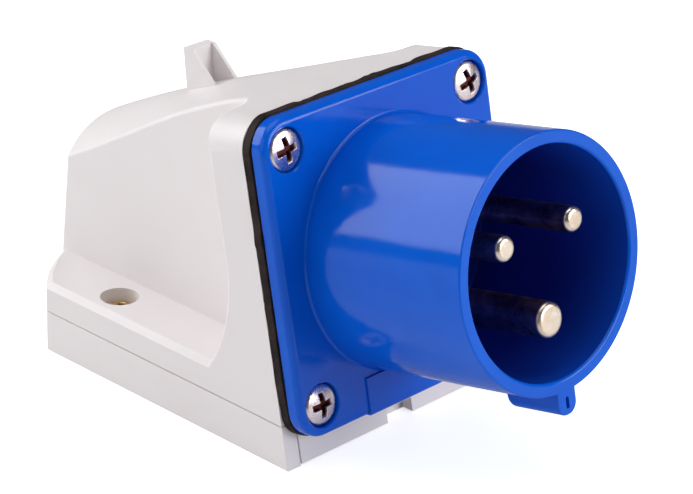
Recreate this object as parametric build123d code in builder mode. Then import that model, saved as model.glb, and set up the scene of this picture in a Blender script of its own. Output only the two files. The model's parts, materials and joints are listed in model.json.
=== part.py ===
from build123d import *
from math import cos, radians, sin, sqrt, tan
import os

# Industrial pin and sleeve inlet, 16 A, two poles and earth, in a surface mounting box.
# Millimetres. The origin is the centre of the flat back that lies on the wall or bench,
# +Z points away from that surface and -Y towards the side that the plug mouth faces.

# Casing
casing_width = 62.0
casing_front = -41.7
casing_back = 41.9
back_arc_rise = 14.6
seam_height = 8.6
ledge_height = 15.0
wall = 2.2
front_wall = 2.5
seam_gap = 0.3

# Collar behind the blue flange, square to the plug axis
face_tilt = 12.5
face_height = 37.4
collar_height = 62.0
collar_depth = 10.0
collar_corner = 6.0
rear_edge_waist = 38.0
rear_edge_foot = -19.9

# Narrow upper body with its arched roof
body_width = 35.4
body_draft = 3.0
pocket_corner = 9.0
roof_crest_middle = 57.1
roof_middle_y = 5.3
roof_crest_back = 38.0
roof_back_y = 45.0
roof_drop_front = 0.6
roof_drop_middle = 5.6
roof_drop_back = 10.4
roof_half_middle = 22.0
roof_half_back = 20.0

# Rounded edges of the casing
collar_edge = 0.8
roof_edge = 1.2
ledge_edge = 1.2

# Lid hook on the roof
hook_width = 6.6
hook_height = 13.0
hook_plate = 2.4
hook_notch = 0.5
hook_rib = 0.8
hook_back = 15.4
hook_length = 8.4
hook_lean = 1.6
hook_above = 4.3

# Flange, gasket and shroud of the inlet
flange_inset = 0.3
flange_width = casing_width - 2 * flange_inset
flange_height = collar_height
flange_thickness = 3.5
flange_corner = 6.0
flange_edge = 1.4
gasket_thickness = 2.0
gasket_margin = 0.4
screw_side_inset = 5.85
screw_end_inset = 6.15
shroud_outer = 49.2
shroud_inner = 44.0
shroud_length = 38.9
shroud_edge = 0.9
floor_front = 1.5
floor_thickness = 4.5
skirt_outer = 44.6
skirt_wall = 2.0
skirt_depth = 9.0
pad_width = 26.4
pad_step = 1.0
lug_width = 5.0
lug_height = 4.6
lug_length = 12.6
lug_sink = 1.6
lug_round = 2.2
lug_tail_round = 0.8
lug_slot_width = 0.9
lug_slot_height = 2.4
lug_slot_depth = 1.2

# Contacts
pin_circle = 22.0
pin_diameter = 5.0
earth_diameter = 7.0
pin_reach = 37.3
pin_tip_round = 1.1
pin_root_extra = 0.6
shoulder_extra = 5.0
shoulder_thickness = 2.0
barrel_extra = 2.6
barrel_tail = 9.0
wire_bore = 3.6
wire_bore_depth = 11.0
carrier_thickness = 9.0
fit_clearance = 0.15
seat_clearance = 0.3

# Screws
flange_screw_head = 7.4
flange_screw_bore = 8.6
flange_screw_sink = 1.6
flange_screw_shank = 3.9
flange_screw_length = 12.0
cover_screw_head = 7.0
cover_screw_bore = 7.8
cover_screw_sink = 4.6
cover_screw_shank = 4.0
cover_screw_length = 7.6
cover_screw_y = 12.8
carrier_screw_head = 5.6
carrier_screw_shank = 3.0
carrier_screw_circle = 30.0
terminal_screw_diameter = 3.5
terminal_screw_proud = 1.0
head_height = 1.8
boss_wall = 1.7
boss_end_wall = 1.2
thread_clearance = 0.1
cross_width = 4.2
cross_depth = 1.1

# Base plate
base_floor = 2.5
base_boss_wall = 3.0
tongue_thickness = 1.6
tongue_depth = 1.6
tongue_root = 2.6
post_width = 3.5
panel_notch_width = 7.0
panel_notch_height = 3.2
rib_thickness = 1.6
rib_height = 5.5
fixing_hole = 5.0
fixing_head = 10.0
fixing_pad = 1.5
fixing_front_y = -24.0
fixing_back_y = 30.0

# Cable entry in the arched back
entry_boss = 22.0
entry_hole = 15.0
entry_height = 25.0
entry_reach = 0.3
grommet_outer = 20.0
grommet_inner = 16.6
grommet_lip = 1.8
grommet_bore = 8.0
grommet_round = 0.5

# Reach of the search for an edge that gets rounded, and stock that the leaning front trims away
near_edge = 5.0
front_stock = 3.0

os.makedirs("parts", exist_ok=True)

tilt_sin = sin(radians(face_tilt))
tilt_cos = cos(radians(face_tilt))
half_width = casing_width / 2
half_body = body_width / 2
seat_offset = flange_thickness + gasket_thickness
flange_half = flange_height / 2
collar_half = collar_height / 2

# The casing's front is one leaning plane, from the wall to the top of the collar.
# The plug axis starts where that plane, moved out by flange and gasket, is face_height up.
face_y = casing_front + face_height * tilt_sin / tilt_cos - seat_offset / tilt_cos
face = Plane(origin=(0, face_y, face_height), x_dir=(1, 0, 0), z_dir=(0, -tilt_cos, tilt_sin))
axis_plane = Plane(origin=face.origin, x_dir=face.z_dir, z_dir=(-1, 0, 0))


def at_face(up, out):
    """Point on the middle plane, up the leaning face and out along the plug axis."""
    return (face_y + up * tilt_sin - out * tilt_cos, face_height + up * tilt_cos + out * tilt_sin)


back_radius = (half_width**2 + back_arc_rise**2) / (2 * back_arc_rise)
back_centre = casing_back - back_radius


def back_y(half, inset):
    """Where the arched back meets a side wall that stands at x = half."""
    return back_centre + sqrt((back_radius - inset) ** 2 - half**2)


def plan(height, half, front, inset):
    """Plan of the casing: straight front and sides, arched back."""
    with BuildSketch(Plane.XY.offset(height)) as outline:
        with BuildLine():
            side_end = back_y(half, inset)
            Polyline((-half, side_end), (-half, front), (half, front), (half, side_end))
            ThreePointArc((half, side_end), (0, casing_back - inset), (-half, side_end))
        make_face()
    return outline.sketch


def roof_section(y, crest, half, drop):
    """One upright section of the roof: straight sides under a flat arch."""
    with BuildSketch(Plane.XZ.offset(-y)) as section:
        with BuildLine():
            Polyline((-half, crest - drop), (-half, 0), (half, 0), (half, crest - drop))
            ThreePointArc((half, crest - drop), (0, crest), (-half, crest - drop))
        make_face()
    return section.sketch


def casing_form(inset, front_inset):
    """Outer form of the cover, or its inside when inset is the wall thickness."""
    front = casing_front - front_stock
    out = -seat_offset - front_inset
    half = half_width - inset
    body_half = half_body - inset
    top = at_face(collar_half, -seat_offset - collar_depth)
    waist = at_face(0, -seat_offset - collar_depth + inset)
    waist_y = waist[0] + (rear_edge_waist - face_height) * tilt_sin / tilt_cos
    with BuildPart() as upright:
        # Collar: the side view drawn once and extruded across, its rear edge bowed low down
        with BuildSketch(Plane.YZ):
            with BuildLine():
                high = 3 * face_height
                high_y = waist_y + (high - rear_edge_waist) * tilt_sin / tilt_cos
                foot = rear_edge_foot - inset
                Polyline((foot, ledge_height - inset), (front, ledge_height - inset), (front, high),
                         (high_y, high), (waist_y, rear_edge_waist))
                TangentArc((waist_y, rear_edge_waist), (foot, ledge_height - inset),
                           tangent=(-tilt_sin, -tilt_cos))
            make_face()
        extrude(amount=half, both=True)
        # Narrow body with drafted walls
        add(plan(ledge_height - inset, body_half, casing_front, inset))
        extrude(amount=2 * face_height + near_edge, taper=body_draft)
        # Hollow corners of the side pockets
        corners = upright.edges().filter_by(lambda e: abs(abs(e.center().X) - body_half) < near_edge
                                            and abs(e.center().Y - waist_y) < 2 * near_edge
                                            and e.center().Z > ledge_height + near_edge)
        pocket_width = half_width - half_body
        fillet(corners, radius=min(pocket_corner + inset, pocket_width - 2 * collar_edge))
        rear = upright.edges().filter_by(lambda e: abs(e.center().X) > half - seam_gap
                                         and collar_depth < e.length < 3 * face_height
                                         and waist_y - wall < e.center().Y < rear_edge_foot + face_height / 2
                                         and e.center().Z > ledge_height + near_edge)
        fillet(rear, radius=collar_edge)
    with BuildPart() as roof:
        # Arched roof, from the collar's flat top to the narrow round back
        add(roof_section(top[0], top[1] + roof_drop_front - inset, half, roof_drop_front))
        add(roof_section(roof_middle_y, roof_crest_middle - inset, roof_half_middle - inset,
                         roof_drop_middle))
        add(roof_section(roof_back_y, roof_crest_back - inset, roof_half_back - inset, roof_drop_back))
        loft()
        # Nothing of the roof limits the collar in front of it
        with BuildSketch(Plane.XZ.offset(-top[0])):
            Rectangle(2 * casing_width, 4 * face_height)
        extrude(amount=casing_width)
    with BuildPart() as collar:
        with BuildSketch(face.offset(out)):
            with Locations((0, -collar_half)):
                Rectangle(2 * half, 2 * collar_height - 2 * inset)
        extrude(amount=-3 * casing_width)
        top_edges = collar.edges().filter_by(Axis(face.origin, face.z_dir))
        fillet(top_edges.group_by(Axis(face.origin, face.y_dir))[-1], radius=collar_corner - inset)
    with BuildPart() as form:
        add(upright.part)
        add(roof.part, mode=Mode.INTERSECT)
        # Skirt that carries the two screw ledges
        add(plan(0, half, front, inset))
        extrude(amount=ledge_height - inset)
        # The collar's own section, square to the leaning face
        add(collar.part, mode=Mode.INTERSECT)
    return form.part


outer_form = casing_form(0.0, 0.0)
inner_form = casing_form(wall, front_wall)

# Places that several pieces share, seen along the plug axis
screw_grid = [(x * (flange_width / 2 - screw_side_inset), y * (flange_height / 2 - screw_end_inset))
              for x in (-1, 1) for y in (-1, 1)]
contact_places = {
    "line": (pin_circle / 2 * cos(radians(30)), pin_circle / 2 * sin(radians(30)), pin_diameter),
    "neutral": (-pin_circle / 2 * cos(radians(30)), pin_circle / 2 * sin(radians(30)), pin_diameter),
    "earth": (0.0, -pin_circle / 2, earth_diameter),
}
carrier_screw_places = [(x * carrier_screw_circle / 2 * cos(radians(30)),
                         -carrier_screw_circle / 2 * sin(radians(30))) for x in (-1, 1)]
cover_screw_x = (half_width + half_body) / 2
cover_screw_places = [(-cover_screw_x, cover_screw_y), (cover_screw_x, cover_screw_y)]
floor_back = floor_front - floor_thickness
carrier_back = floor_back - carrier_thickness
shoulder_back = floor_back - shoulder_thickness
barrel_back = carrier_back - barrel_tail
skirt_inner = skirt_outer - 2 * skirt_wall
skirt_back = -flange_thickness - skirt_depth
panel_half = half_width - post_width - seam_gap
panel_back = -seat_offset - front_wall
cover_seat = ledge_height - cover_screw_sink
cover_screw_tip = cover_seat - cover_screw_length
column_foot = seam_height + seam_gap
column_radius = cover_screw_bore / 2 + boss_wall
base_boss_radius = cover_screw_shank / 2 + base_boss_wall
screw_boss_radius = flange_screw_shank / 2 + boss_wall
screw_seat = -flange_screw_sink
screw_tip = screw_seat - flange_screw_length
boss_end = screw_tip - boss_end_wall
terminal_plane = carrier_back - barrel_tail / 2
entry_face = casing_back + entry_reach


def behind(out):
    """Block of everything behind the leaning plane that lies out along the plug axis."""
    with BuildPart() as block:
        with BuildSketch(face.offset(out)):
            Rectangle(4 * casing_width, 6 * collar_height)
        extrude(amount=-4 * casing_width)
    return block.part


def long_edges(part, x_range, y_range, z_range, length):
    """Edges longer than length whose middle lies in a box, on both sides of the middle plane."""
    return part.edges().filter_by(lambda e: x_range[0] <= abs(e.center().X) <= x_range[1]
                                  and y_range[0] <= e.center().Y <= y_range[1]
                                  and z_range[0] <= e.center().Z <= z_range[1] and e.length > length)


# Inside of the cover: the casing less its walls, the flange screw bosses and the screw columns
with BuildPart() as inside:
    add(inner_form)
    with BuildSketch(face.offset(panel_back + wall / 2)):
        with Locations(*screw_grid):
            Circle(screw_boss_radius)
    extrude(amount=boss_end - panel_back - wall / 2, mode=Mode.SUBTRACT)
    with BuildSketch(Plane.XY.offset(column_foot)):
        with Locations(*cover_screw_places):
            Circle(column_radius)
    extrude(amount=ledge_height - column_foot, mode=Mode.SUBTRACT)
    # Round inside of the cable entry
    with BuildSketch(Plane.XZ.offset(wall - entry_face)):
        with Locations((0, entry_height)):
            Circle(entry_boss / 2 - wall)
    extrude(amount=casing_back - back_centre)

# Lid hook: a leaning plate with two thin slanted ribs towards the flange, open between them
with BuildPart() as hook:
    hook_top = roof_crest_middle + hook_above
    hook_foot = hook_top - hook_height
    hook_front = hook_back - hook_length
    with BuildSketch(Plane.YZ):
        Polygon((hook_back, hook_foot), (hook_back + hook_lean, hook_top),
                (hook_back + hook_lean - hook_plate, hook_top), (hook_front, roof_crest_middle - hook_plate),
                (hook_front, hook_foot), align=None)
    extrude(amount=hook_width / 2, both=True)
    with BuildSketch(Plane.YZ):
        plate_front = hook_back - hook_plate + hook_notch
        Polygon((plate_front, hook_foot), (plate_front + hook_lean, hook_top),
                (hook_front - hook_lean, hook_top), (hook_front - hook_lean, hook_foot), align=None)
    extrude(amount=hook_width / 2 - hook_rib, both=True, mode=Mode.SUBTRACT)
    add(inside.part, mode=Mode.SUBTRACT)

# Round face of the cable entry
with BuildPart() as entry_ring:
    with BuildSketch(Plane.XZ.offset(-entry_face)):
        with Locations((0, entry_height)):
            Circle(entry_boss / 2)
    extrude(amount=casing_back - back_centre)
    add(inside.part, mode=Mode.SUBTRACT)

# Tongue that locates the cover inside the base's rim, at the sides and the back
with BuildPart() as tongue:
    tongue_outer = wall + seam_gap
    tongue_inner = tongue_outer + tongue_thickness
    add(plan(seam_height - tongue_depth, half_width - tongue_outer, casing_front, tongue_outer))
    extrude(amount=tongue_depth + seam_gap)
    add(plan(seam_height + seam_gap, half_width - wall / 2, casing_front, wall / 2))
    extrude(amount=tongue_root)
    add(plan(0, half_width - tongue_inner, casing_front - wall, tongue_inner))
    extrude(amount=ledge_height, mode=Mode.SUBTRACT)
    # Nothing of it near the front panel or around the base's screw bosses
    with BuildSketch(Plane.XY):
        with Locations((0, casing_front)):
            Rectangle(2 * casing_width, 4 * wall + 2 * front_wall)
        with Locations(*cover_screw_places):
            Circle(base_boss_radius + seam_gap)
    extrude(amount=seam_height + seam_gap, mode=Mode.SUBTRACT)
    with BuildSketch(Plane.XY):
        with Locations((0, casing_front)):
            Rectangle(2 * casing_width, 4 * wall + 2 * front_wall)
    extrude(amount=ledge_height, mode=Mode.SUBTRACT)

# Cover: one moulding with collar, side pockets, screw columns and lid hook
with BuildPart() as cover:
    add(outer_form)
    # Softened edges of the screw ledges
    ledge_edges = long_edges(cover, (half_body + near_edge, half_width),
                             (rear_edge_foot + 2 * near_edge, casing_back),
                             (ledge_height - seam_gap, ledge_height + seam_gap), wall)
    chamfer(ledge_edges, length=ledge_edge)
    add(inside.part, mode=Mode.SUBTRACT)
    # Rounded edges of the roof and the back
    roof_sides = long_edges(cover, (half_body - near_edge, half_body), (0, casing_back),
                            (ledge_height + near_edge, 2 * face_height), wall)
    roof_sides = roof_sides.filter_by(lambda e: abs(e.center().X) > half_body - wall + seam_gap)
    back_top = long_edges(cover, (0, seam_gap), (casing_back - wall, casing_back),
                          (ledge_height + near_edge, 2 * face_height), wall)
    fillet(roof_sides + back_top, radius=roof_edge)
    add(hook.part)
    add(entry_ring.part)
    with BuildSketch(Plane.XZ.offset(-entry_face)):
        with Locations((0, entry_height)):
            Circle(entry_hole / 2)
    extrude(amount=2 * wall, mode=Mode.SUBTRACT)
    # Pilot holes of the flange screws
    with BuildSketch(face.offset(-seat_offset)):
        with Locations(*screw_grid):
            Circle(flange_screw_shank / 2 + thread_clearance)
    extrude(amount=screw_tip - boss_end_wall / 3 + seat_offset, mode=Mode.SUBTRACT)
    # Lower rim cut back to the seam, apart from the front panel between the base posts
    with BuildSketch(Plane.XY.offset(-wall)):
        Rectangle(4 * casing_width, 4 * casing_width)
        with Locations((0, casing_front)):
            Rectangle(2 * panel_half, casing_width, mode=Mode.SUBTRACT)
    extrude(amount=seam_height + seam_gap + wall, mode=Mode.SUBTRACT)
    with BuildSketch(Plane.XY.offset(-wall)):
        Rectangle(4 * casing_width, 4 * casing_width)
    extrude(amount=seam_gap + wall, mode=Mode.SUBTRACT)
    # Opening for the inlet in the front wall
    with BuildSketch(face.offset(panel_back)):
        Circle(skirt_outer / 2 + seat_clearance)
    extrude(amount=3 * front_wall, mode=Mode.SUBTRACT)
    # Counterbores and holes of the cover screws, down through the ledges and columns
    add(tongue.part)
    with BuildSketch(Plane.XY.offset(cover_seat)):
        with Locations(*cover_screw_places):
            Circle(cover_screw_bore / 2)
    extrude(amount=face_height, mode=Mode.SUBTRACT)
    with BuildSketch(Plane.XY):
        with Locations(*cover_screw_places):
            Circle(cover_screw_shank / 2 + fit_clearance)
    extrude(amount=cover_seat, mode=Mode.SUBTRACT)
    # Drain notch in the foot of the front panel
    with BuildSketch(Plane.XY.offset(-wall)):
        with Locations((0, casing_front)):
            Rectangle(panel_notch_width, 4 * front_wall)
    extrude(amount=panel_notch_height + wall, mode=Mode.SUBTRACT)
cover.part.label = "cover"
export_step(cover.part, "parts/cover.step")

# Everything inside the base's rim, above the floor
with BuildPart() as base_hollow:
    add(plan(base_floor, half_width - wall, casing_front - front_wall, wall))
    extrude(amount=seam_height)
    add(behind(panel_back - seam_gap), mode=Mode.INTERSECT)

# Gap between the base's posts, where the cover's front panel reaches down
with BuildPart() as panel_slot:
    with BuildSketch(face.offset(panel_back - seam_gap)):
        Rectangle(2 * half_width - 2 * post_width, 3 * collar_height)
    extrude(amount=2 * front_wall)

# Base plate: floor, rim at the sides and the back, corner posts beside the cover's front panel
with BuildPart() as base:
    add(plan(0, half_width, casing_front - front_wall, 0))
    extrude(amount=seam_height)
    add(behind(-seat_offset), mode=Mode.INTERSECT)
    add(base_hollow.part, mode=Mode.SUBTRACT)
    add(panel_slot.part, mode=Mode.SUBTRACT)
    # Rib behind the panel
    with BuildSketch(Plane.XY.offset(base_floor)):
        rib_front = casing_front + (front_wall + seam_gap) / tilt_cos + rib_height * tilt_sin / tilt_cos
        with Locations((0, rib_front + rib_thickness / 2)):
            Rectangle(2 * panel_half - 2 * wall, rib_thickness)
    extrude(amount=rib_height - base_floor)
    # Bosses that the cover's columns stand on, with pilot holes
    with BuildSketch(Plane.XY.offset(base_floor)):
        with Locations(*cover_screw_places):
            Circle(base_boss_radius)
    extrude(amount=column_foot - base_floor)
    with BuildSketch(Plane.XY.offset(cover_screw_tip - seam_gap)):
        with Locations(*cover_screw_places):
            Circle(cover_screw_shank / 2 + thread_clearance)
    extrude(amount=seam_height, mode=Mode.SUBTRACT)
    # Raised pads around the two wall fixing holes
    fixing_places = [(0, fixing_front_y), (0, fixing_back_y)]
    with BuildSketch(Plane.XY.offset(base_floor)):
        with Locations(*fixing_places):
            Circle(fixing_head / 2 + wall)
    extrude(amount=fixing_pad)
    with Locations(*[(x, y, base_floor + fixing_pad) for x, y in fixing_places]):
        CounterBoreHole(fixing_hole / 2, fixing_head / 2, fixing_pad)
base.part.label = "base"
export_step(base.part, "parts/base.step")

# Gasket between flange and casing
with BuildPart() as flange_gasket:
    with BuildSketch(face.offset(-seat_offset)):
        RectangleRounded(flange_width + 2 * gasket_margin, flange_height + 2 * gasket_margin,
                         flange_corner + gasket_margin)
        Circle(skirt_outer / 2 + seat_clearance, mode=Mode.SUBTRACT)
        with Locations(*screw_grid):
            Circle(flange_screw_shank / 2 + seat_clearance, mode=Mode.SUBTRACT)
    extrude(amount=gasket_thickness)
flange_gasket.part.label = "flange_gasket"
export_step(flange_gasket.part, "parts/flange_gasket.step")

# Lug under the mouth, for the catch of the mating connector
with BuildPart() as lug:
    lug_root = shroud_outer / 2 - lug_sink
    lug_foot = shroud_outer / 2 + lug_height
    lug_tail = shroud_length - lug_length
    with BuildSketch(axis_plane):
        Polygon((lug_tail, -lug_root), (shroud_length, -lug_root), (shroud_length, -lug_foot),
                (lug_tail, -lug_foot), align=None)
    extrude(amount=lug_width / 2, both=True)
    # Round foot, then a small round at its tail
    lug_foot_edges = lug.edges().filter_by(Axis(face.origin, face.z_dir))
    fillet(lug_foot_edges.group_by(Axis(face.origin, face.y_dir))[0], radius=lug_round)
    lug_tail_edges = lug.edges().group_by(Axis(face.origin, face.z_dir))[0]
    fillet(lug_tail_edges.group_by(Axis(face.origin, face.y_dir))[0], radius=lug_tail_round)

# Inlet body: square flange, shroud with lug, floor for the pins, rear skirt
with BuildPart() as inlet_body:
    with BuildSketch(face.offset(-flange_thickness)):
        RectangleRounded(flange_width, flange_height, flange_corner)
    extrude(amount=flange_thickness)
    fillet(inlet_body.edges().group_by(Axis(face.origin, face.z_dir))[-1], radius=flange_edge)
    # Flat raised pad from the shroud down to the lower edge
    with BuildSketch(face.offset(-flange_thickness / 2)):
        with Locations((0, -flange_half / 2)):
            Rectangle(pad_width, flange_half)
    extrude(amount=flange_thickness / 2 + pad_step)
    pad_foot = inlet_body.edges().filter_by(Axis.X).group_by(Axis(face.origin, face.z_dir))[-1]
    fillet(pad_foot.group_by(Axis(face.origin, face.y_dir))[0], radius=pad_step)
    with BuildSketch(face.offset(-flange_thickness / 2)):
        Circle(shroud_outer / 2)
    extrude(amount=flange_thickness / 2 + shroud_length)
    add(lug.part)
    # Inside of the shroud and its rounded rim
    with BuildSketch(face.offset(floor_front)):
        Circle(shroud_inner / 2)
    extrude(amount=shroud_length, mode=Mode.SUBTRACT)
    rim = inlet_body.edges().filter_by(GeomType.CIRCLE).group_by(Axis(face.origin, face.z_dir))[-1]
    fillet(rim.filter_by(lambda e: e.radius < (shroud_outer + shroud_inner) / 4), radius=shroud_edge)
    # Small upright recess in the front of the lug
    with BuildSketch(face.offset(shroud_length)):
        with Locations((0, -lug_foot + lug_slot_height)):
            SlotOverall(lug_slot_height, lug_slot_width, rotation=90)
    extrude(amount=-lug_slot_depth, mode=Mode.SUBTRACT)
    # Rear skirt that enters the casing
    with BuildSketch(face.offset(skirt_back)):
        Circle(skirt_outer / 2)
    extrude(amount=skirt_depth + flange_thickness / 2)
    with BuildSketch(face.offset(floor_back)):
        Circle(skirt_inner / 2)
    extrude(amount=-2 * skirt_depth, mode=Mode.SUBTRACT)
    # Holes for the pins, the carrier screws and the flange screws
    with BuildSketch(face.offset(floor_back)):
        for x, up, diameter in contact_places.values():
            with Locations((x, up)):
                Circle((diameter + pin_root_extra) / 2 + fit_clearance)
    extrude(amount=2 * floor_thickness, mode=Mode.SUBTRACT)
    with BuildSketch(face.offset(floor_back)):
        with Locations(*carrier_screw_places):
            Circle(carrier_screw_shank / 2 + thread_clearance)
    extrude(amount=floor_thickness * 3 / 4, mode=Mode.SUBTRACT)
    with BuildSketch(face.offset(screw_seat)):
        with Locations(*screw_grid):
            Circle(flange_screw_bore / 2)
    extrude(amount=flange_thickness, mode=Mode.SUBTRACT)
    with BuildSketch(face):
        with Locations(*screw_grid):
            Circle(flange_screw_shank / 2 + seat_clearance)
    extrude(amount=-2 * flange_thickness, mode=Mode.SUBTRACT)
inlet_body.part.label = "inlet_body"
export_step(inlet_body.part, "parts/inlet_body.step")

# Contact carrier: disc that clamps the pin shoulders against the floor
with BuildPart() as contact_carrier:
    with BuildSketch(face.offset(carrier_back)):
        Circle(skirt_inner / 2 - seat_clearance)
    extrude(amount=carrier_thickness)
    with BuildSketch(face.offset(shoulder_back)):
        for x, up, diameter in contact_places.values():
            with Locations((x, up)):
                Circle((diameter + shoulder_extra) / 2 + fit_clearance)
    extrude(amount=shoulder_thickness, mode=Mode.SUBTRACT)
    with BuildSketch(face.offset(carrier_back)):
        for x, up, diameter in contact_places.values():
            with Locations((x, up)):
                Circle((diameter + barrel_extra) / 2 + fit_clearance)
        with Locations(*carrier_screw_places):
            Circle(carrier_screw_shank / 2 + fit_clearance)
    extrude(amount=carrier_thickness, mode=Mode.SUBTRACT)
contact_carrier.part.label = "contact_carrier"
export_step(contact_carrier.part, "parts/contact_carrier.step")

# Pins: domed rod, thicker root in the floor, clamped shoulder, wire barrel with its terminal screw
for name, (x, up, diameter) in contact_places.items():
    barrel_radius = (diameter + barrel_extra) / 2
    outward = face.y_dir if up > 0 else -face.y_dir
    screw_centre = face.offset(terminal_plane).from_local_coords(Vector(x, up, 0))
    terminal = Plane(origin=screw_centre, z_dir=outward)
    with BuildPart() as pin:
        with BuildSketch(face.offset(floor_back)):
            with Locations((x, up)):
                Circle(diameter / 2)
        extrude(amount=pin_reach - floor_back)
        fillet(pin.edges().group_by(Axis(face.origin, face.z_dir))[-1], radius=pin_tip_round)
        with BuildSketch(face.offset(floor_back)):
            with Locations((x, up)):
                Circle((diameter + pin_root_extra) / 2)
        extrude(amount=floor_thickness)
        with BuildSketch(face.offset(shoulder_back)):
            with Locations((x, up)):
                Circle((diameter + shoulder_extra) / 2)
        extrude(amount=shoulder_thickness)
        with BuildSketch(face.offset(barrel_back)):
            with Locations((x, up)):
                Circle(barrel_radius)
        extrude(amount=floor_back - barrel_back)
        with BuildSketch(face.offset(barrel_back)):
            with Locations((x, up)):
                Circle(wire_bore / 2)
        extrude(amount=wire_bore_depth, mode=Mode.SUBTRACT)
        with BuildSketch(terminal):
            Circle(terminal_screw_diameter / 2 + thread_clearance)
        extrude(amount=2 * barrel_radius, mode=Mode.SUBTRACT)
    pin.part.label = name + "_pin"
    export_step(pin.part, "parts/" + name + "_pin.step")
    with BuildPart() as terminal_screw:
        with BuildSketch(terminal.offset(wire_bore / 4)):
            Circle(terminal_screw_diameter / 2)
        extrude(amount=barrel_radius - wire_bore / 4 + terminal_screw_proud)
        with BuildSketch(terminal.offset(barrel_radius + terminal_screw_proud)):
            Rectangle(2 * terminal_screw_diameter, terminal_screw_diameter / 5)
        extrude(amount=-terminal_screw_diameter / 4, mode=Mode.SUBTRACT)
    terminal_screw.part.label = name + "_terminal_screw"
    export_step(terminal_screw.part, "parts/" + name + "_terminal_screw.step")


def pan_screw(seat, place, head, shank, length):
    """Pan head screw with a cross recess; its head stands out of the seat plane, its shank goes in."""
    with BuildPart() as screw:
        with BuildSketch(seat):
            with Locations(place):
                Circle(head / 2)
        extrude(amount=head_height)
        fillet(screw.edges().group_by(Axis(seat.origin, seat.z_dir))[-1], radius=head_height / 2)
        with BuildSketch(seat):
            with Locations(place):
                Circle(shank / 2)
        extrude(amount=-length)
        with BuildSketch(seat.offset(head_height)):
            with Locations(place):
                Rectangle(cross_width, cross_width / 5)
                Rectangle(cross_width / 5, cross_width)
        extrude(amount=-cross_depth, mode=Mode.SUBTRACT)
    return screw.part


# Flange screws, one in each counterbore
for place, (side, level) in zip(screw_grid, (("left", "lower"), ("left", "upper"), ("right", "lower"),
                                            ("right", "upper"))):
    flange_screw = pan_screw(face.offset(screw_seat), place, flange_screw_head, flange_screw_shank,
                             flange_screw_length)
    flange_screw.label = "flange_screw_" + level + "_" + side
    export_step(flange_screw, "parts/" + flange_screw.label + ".step")

# Cover screws, deep in the ledges
for place, side in zip(cover_screw_places, ("left", "right")):
    cover_screw = pan_screw(Plane.XY.offset(cover_seat), place, cover_screw_head, cover_screw_shank,
                            cover_screw_length)
    cover_screw.label = "cover_screw_" + side
    export_step(cover_screw, "parts/" + cover_screw.label + ".step")

# Carrier screws, from behind into the floor of the inlet
carrier_seat = Plane(origin=face.offset(carrier_back).origin, x_dir=(1, 0, 0), z_dir=-face.z_dir)
for (x, up), side in zip(carrier_screw_places, ("left", "right")):
    carrier_screw = pan_screw(carrier_seat, (x, -up), carrier_screw_head, carrier_screw_shank,
                              carrier_thickness + floor_thickness * 2 / 3)
    carrier_screw.label = "carrier_screw_" + side
    export_step(carrier_screw, "parts/" + carrier_screw.label + ".step")

# Cable grommet, buttoned into the entry hole
with BuildPart() as cable_grommet:
    with BuildSketch(Plane.YZ):
        entry_inside = entry_face - wall
        with Locations((entry_face, entry_height)):
            Rectangle(grommet_lip, grommet_outer / 2, align=(Align.MIN, Align.MIN))
        with Locations((entry_inside, entry_height)):
            Rectangle(wall, entry_hole / 2 - fit_clearance, align=(Align.MIN, Align.MIN))
        with Locations((entry_inside - grommet_lip, entry_height)):
            Rectangle(grommet_lip, grommet_inner / 2, align=(Align.MIN, Align.MIN))
        with Locations((entry_inside - grommet_lip, entry_height)):
            Rectangle(wall + 2 * grommet_lip, grommet_bore / 2, align=(Align.MIN, Align.MIN),
                      mode=Mode.SUBTRACT)
    revolve(axis=Axis((0, 0, entry_height), (0, 1, 0)))
    fillet(cable_grommet.edges().filter_by(GeomType.CIRCLE).group_by(Axis.Y)[-1], radius=grommet_round)
cable_grommet.part.label = "cable_grommet"
export_step(cable_grommet.part, "parts/cable_grommet.step")
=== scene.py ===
import json
import math

import bmesh
import bpy
import numpy as np
from mathutils import Matrix, Vector


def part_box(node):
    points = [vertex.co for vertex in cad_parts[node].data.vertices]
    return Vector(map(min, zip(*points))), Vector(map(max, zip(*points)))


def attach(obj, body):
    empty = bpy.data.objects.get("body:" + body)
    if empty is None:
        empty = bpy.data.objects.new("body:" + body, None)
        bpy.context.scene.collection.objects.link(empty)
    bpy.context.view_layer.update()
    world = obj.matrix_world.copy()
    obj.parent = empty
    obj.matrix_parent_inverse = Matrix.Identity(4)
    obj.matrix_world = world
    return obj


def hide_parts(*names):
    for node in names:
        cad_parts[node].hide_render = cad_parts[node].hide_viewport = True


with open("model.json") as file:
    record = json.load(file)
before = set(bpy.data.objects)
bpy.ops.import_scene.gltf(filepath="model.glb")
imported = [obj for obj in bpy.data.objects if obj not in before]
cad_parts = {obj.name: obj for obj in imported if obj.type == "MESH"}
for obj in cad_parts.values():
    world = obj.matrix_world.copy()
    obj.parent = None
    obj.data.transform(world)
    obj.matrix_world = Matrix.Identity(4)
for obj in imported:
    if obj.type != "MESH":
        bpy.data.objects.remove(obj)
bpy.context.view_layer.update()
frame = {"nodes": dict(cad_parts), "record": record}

MM = 0.001
scene = bpy.context.scene

CAMERA_AZIMUTH, CAMERA_ELEVATION, CAMERA_ROLL = -46.71, 25.19, 1.73
CAMERA_DISTANCE = 570.85 * MM
FRAME_SHIFT = (9.67 * MM, 1.20 * MM)
FOCAL_PIXELS, FRAME_WIDTH, SENSOR = 3000.0, 693.0, 36.0

mouth = next(m for m in frame["record"]["mounts"] if m["name"] == "shroud_mouth")
OUT = np.array(mouth["axis"]) / np.linalg.norm(mouth["axis"])
UP = np.array([0.0, OUT[2], -OUT[1]])
ACROSS = np.array([1.0, 0.0, 0.0])
SHROUD_LENGTH = 38.9
CENTRE = np.array(mouth["pos_m"]) - OUT * SHROUD_LENGTH * MM


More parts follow.
